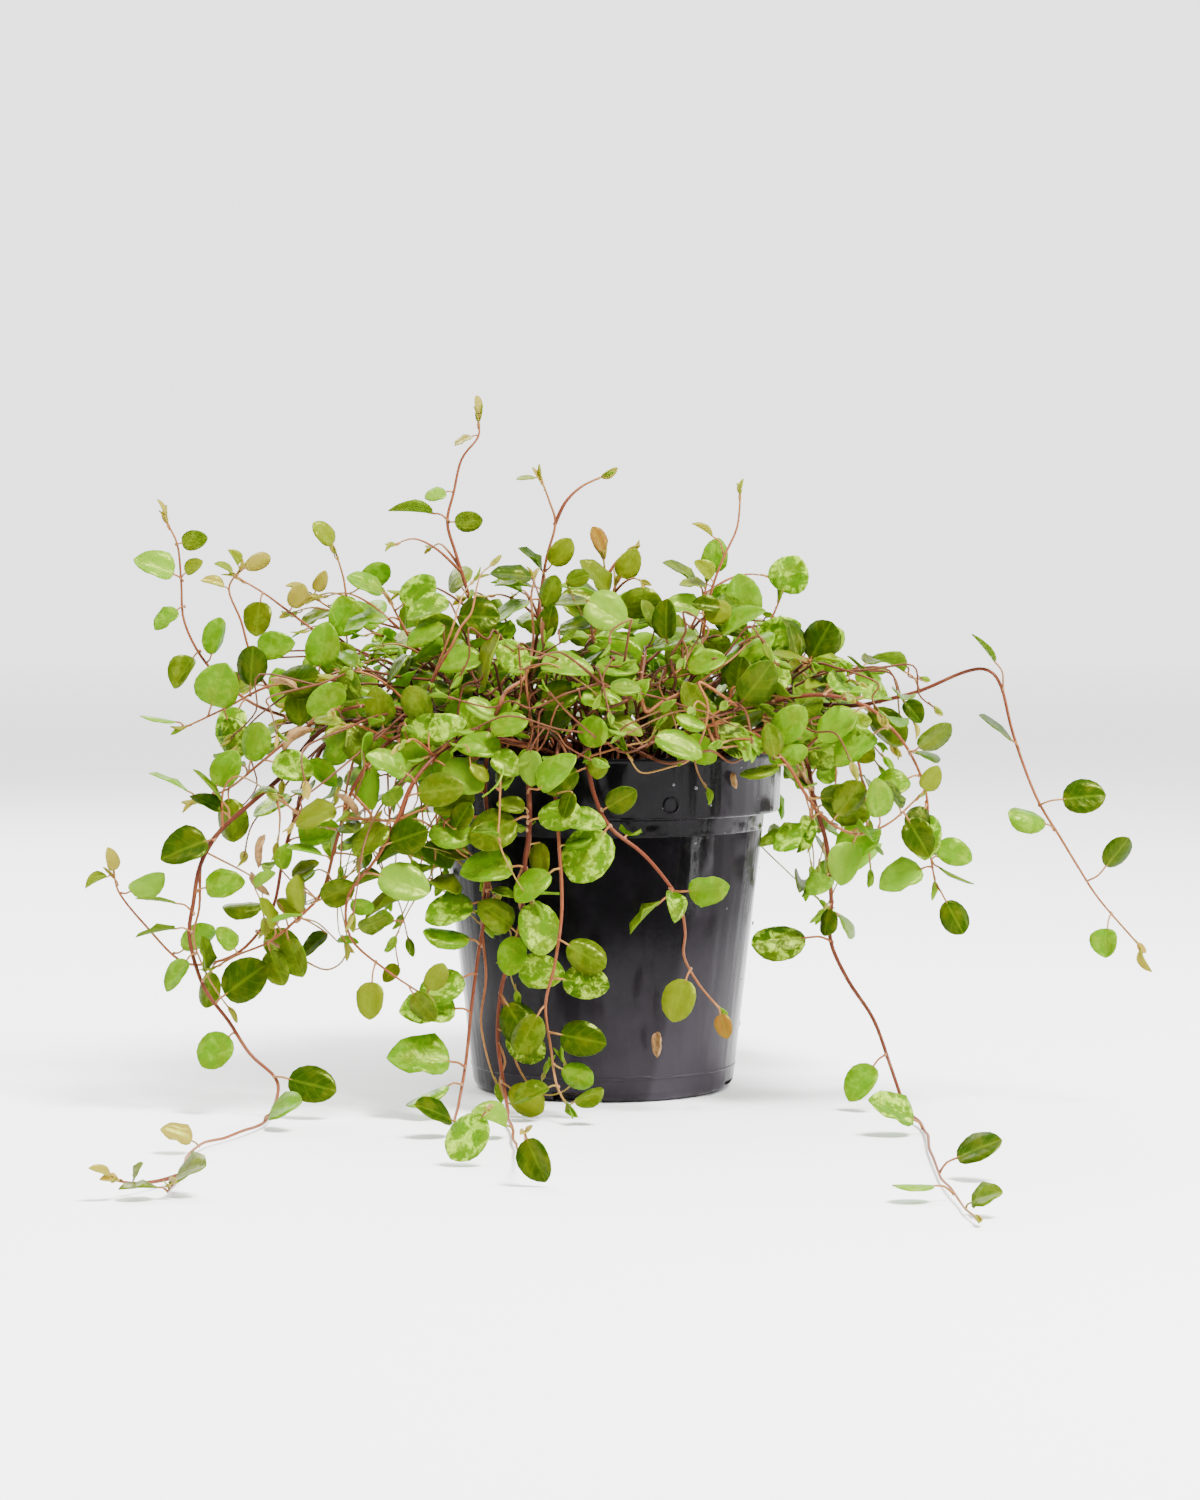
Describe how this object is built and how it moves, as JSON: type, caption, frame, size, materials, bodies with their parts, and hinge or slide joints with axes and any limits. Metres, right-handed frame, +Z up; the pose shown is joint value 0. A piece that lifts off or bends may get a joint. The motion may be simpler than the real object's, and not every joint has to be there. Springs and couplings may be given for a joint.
{
  "type": "potted wire vine",
  "caption": "Trailing wire vine with small rounded leaves on wiry stems, growing from a tapered round nursery pot and spilling over its rim.",
  "frame": {"origin": "middle of the pot's flat underside", "axes": "+Z up along the pot's axis, -Y towards the viewer of the picture, +X to the viewer's right"},
  "size_m": [0.3168, 0.3769, 0.2122],
  "materials": {
    "black_plastic": "glossy injection-moulded plastic",
    "potting_mix": "rough damp peat and bark mix",
    "shoot": "soft satin green leaves on red-brown wiry stems"
  },
  "bodies": {
    "root": {"back_01": "shoot", "back_02": "shoot", "back_03": "shoot", "back_04": "shoot", "back_05": "shoot", "back_06": "shoot", "back_07": "shoot", "back_sprig": "shoot", "bronze_tuft": "shoot", "crown_leader": "shoot", "crown_left": "shoot", "crown_middle": "shoot", "crown_right": "shoot", "dome_01": "shoot", "dome_02": "shoot", "dome_03": "shoot", "dome_04": "shoot", "dome_05": "shoot", "dome_06": "shoot", "dome_07": "shoot", "dome_08": "shoot", "dome_09": "shoot", "dome_10": "shoot", "dome_11": "shoot", "front_cascade": "shoot", "front_curtain": "shoot", "front_drape": "shoot", "front_tangle": "shoot", "high_right": "shoot", "left_bud": "shoot", "left_cascade": "shoot", "left_fork": "shoot", "left_high_sprawl": "shoot", "left_rider": "shoot", "left_sprawl": "shoot", "left_star": "shoot", "left_tip": "shoot", "middle_fall": "shoot", "pink_knot": "shoot", "pink_riser": "shoot", "pot": "black_plastic", "potting_mix": "potting_mix", "right_arch": "shoot", "right_curl": "shoot", "right_fall": "shoot", "right_fork": "shoot", "right_pair": "shoot", "rim_front": "shoot", "rim_left": "shoot", "rim_right": "shoot", "twin_tip": "shoot"}
  },
  "joints": []
}
